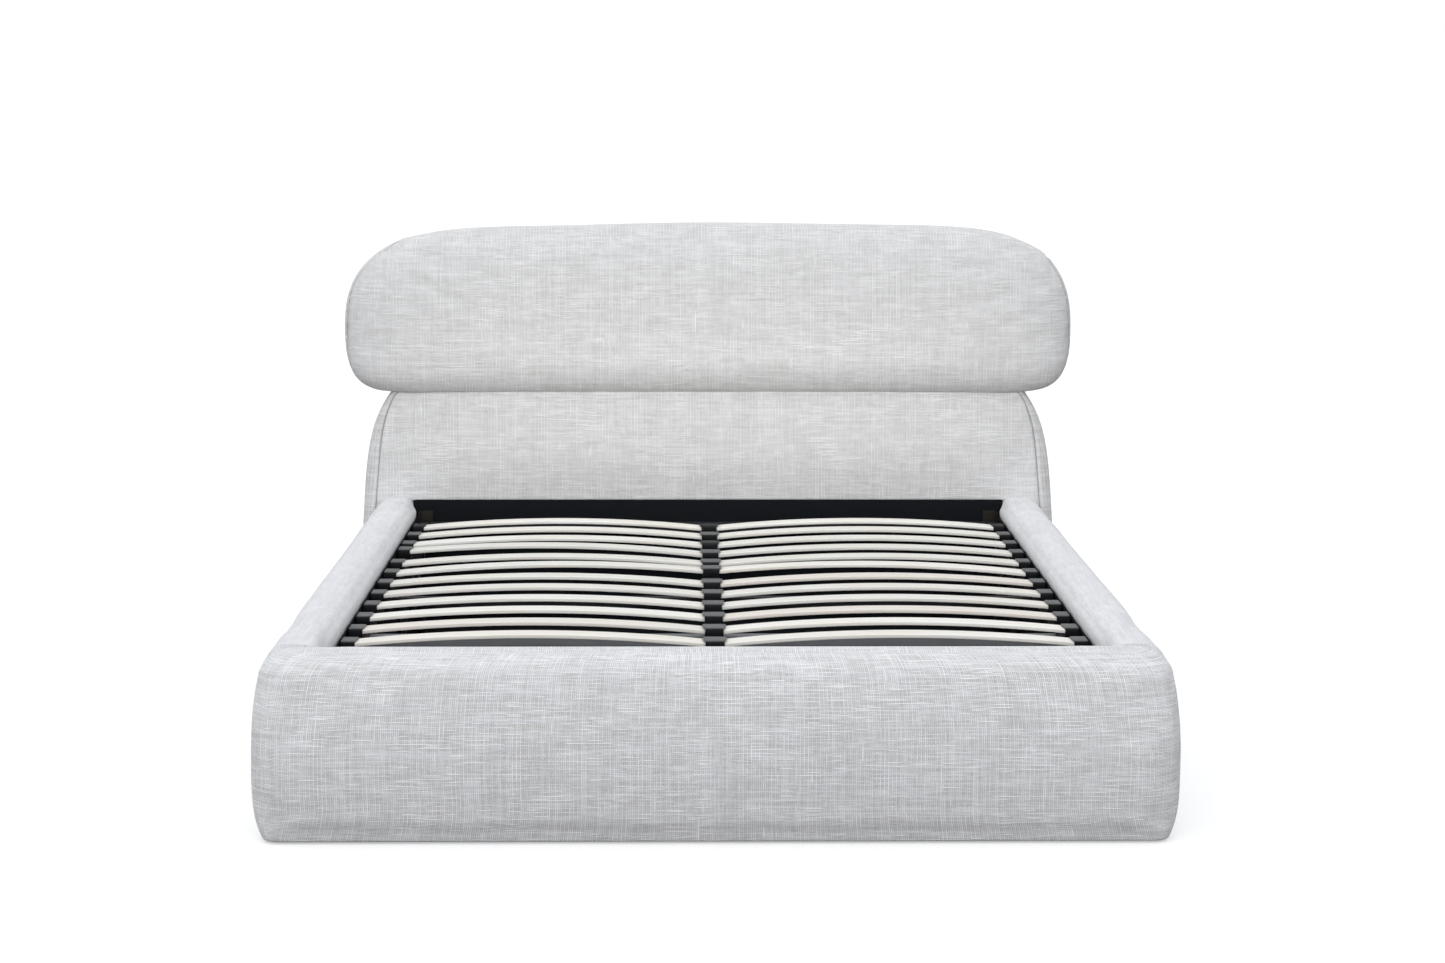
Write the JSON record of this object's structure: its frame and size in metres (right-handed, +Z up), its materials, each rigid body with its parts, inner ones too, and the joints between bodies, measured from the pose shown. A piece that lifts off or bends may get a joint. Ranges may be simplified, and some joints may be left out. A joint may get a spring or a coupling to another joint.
{
  "type": "upholstered storage bed",
  "caption": "Padded bed with a roll headboard, and a bowed-slat frame that hinges up near the head on gas struts over a storage box.",
  "frame": {"origin": "on the floor, under the middle of the bed's overall box", "axes": "+Z up, +Y towards the headboard, +X to the right as seen from the foot"},
  "size_m": [1.934, 2.3799, 1.103],
  "materials": {
    "upholstery_fabric": "slubbed linen-look weave, light grey with white and beige threads",
    "black_lining": "black non-woven lining over board",
    "slat_wood": "pale laminated wood, satin",
    "holder_plastic": "dark grey moulded plastic",
    "black_steel": "black powder coat",
    "grey_steel": "dark grey satin powder coat",
    "zinc_steel": "yellowish zinc plate",
    "rod_chrome": "hard chrome rod",
    "strap_webbing": "black woven webbing"
  },
  "bodies": {
    "base": {"footboard": "upholstery_fabric", "side_rail_left": "upholstery_fabric", "side_rail_right": "upholstery_fabric", "headboard_panel": "upholstery_fabric", "headboard_bolster": "upholstery_fabric", "foot_board": "black_lining", "head_board": "black_lining", "rail_board_left": "black_lining", "rail_board_right": "black_lining", "base_batten_left": "black_lining", "base_batten_right": "black_lining", "floor_beam": "black_lining", "floor_panel_left": "black_lining", "floor_panel_right": "black_lining", "foot_ledge": "black_lining", "corner_bracket_left": "zinc_steel", "corner_bracket_right": "zinc_steel", "hinge_plate_left": "black_steel", "hinge_plate_right": "black_steel"},
    "slat_frame": {"slat_left_01": "slat_wood", "slat_left_02": "slat_wood", "slat_left_03": "slat_wood", "slat_left_04": "slat_wood", "slat_left_05": "slat_wood", "slat_left_06": "slat_wood", "slat_left_07": "slat_wood", "slat_left_08": "slat_wood", "slat_left_09": "slat_wood", "slat_left_10": "slat_wood", "slat_left_11": "slat_wood", "slat_left_12": "slat_wood", "slat_right_01": "slat_wood", "slat_right_02": "slat_wood", "slat_right_03": "slat_wood", "slat_right_04": "slat_wood", "slat_right_05": "slat_wood", "slat_right_06": "slat_wood", "slat_right_07": "slat_wood", "slat_right_08": "slat_wood", "slat_right_09": "slat_wood", "slat_right_10": "slat_wood", "slat_right_11": "slat_wood", "slat_right_12": "slat_wood", "holders_left": "holder_plastic", "holders_centre": "holder_plastic", "holders_right": "holder_plastic", "frame_tube_left": "black_steel", "frame_tube_right": "black_steel", "frame_tube_foot": "black_steel", "frame_tube_head": "black_steel", "frame_tube_centre": "black_steel", "frame_cross_foot": "grey_steel", "frame_cross_middle": "black_steel", "lift_arm_left": "black_steel", "lift_arm_right": "black_steel", "lift_strap": "strap_webbing"},
    "rod_left": {"strut_rod_left": "rod_chrome"},
    "cylinder_left": {"strut_cylinder_left": "black_steel"},
    "rod_right": {"strut_rod_right": "rod_chrome"},
    "cylinder_right": {"strut_cylinder_right": "black_steel"}
  },
  "joints": [
    {"name": "frame_lift", "type": "hinge", "parent": "base", "child": "slat_frame", "pos_m": [0, 0.71, 0.262], "axis": [-1, 0, 0], "range_deg": [0, 40]},
    {"name": "strut_left_swing", "type": "hinge", "parent": "base", "child": "rod_left", "pos_m": [-0.7215, 0.51, 0.062], "axis": [-1, 0, 0], "range_deg": [0, 29.7]},
    {"name": "strut_left_extend", "type": "slide", "parent": "rod_left", "child": "cylinder_left", "axis": [0, -0.6332, 0.774], "range_m": [0, 0.182]},
    {"name": "strut_right_swing", "type": "hinge", "parent": "base", "child": "rod_right", "pos_m": [0.7215, 0.51, 0.062], "axis": [-1, 0, 0], "range_deg": [0, 29.7]},
    {"name": "strut_right_extend", "type": "slide", "parent": "rod_right", "child": "cylinder_right", "axis": [0, -0.6332, 0.774], "range_m": [0, 0.182]}
  ],
  "couplings": [
    {"joint": "strut_left_swing", "follows": "frame_lift", "ratio": 0.74069},
    {"joint": "strut_left_extend", "follows": "frame_lift", "m_per_rad": 0.26061},
    {"joint": "strut_right_swing", "follows": "frame_lift", "ratio": 0.74069},
    {"joint": "strut_right_extend", "follows": "frame_lift", "m_per_rad": 0.26061}
  ]
}
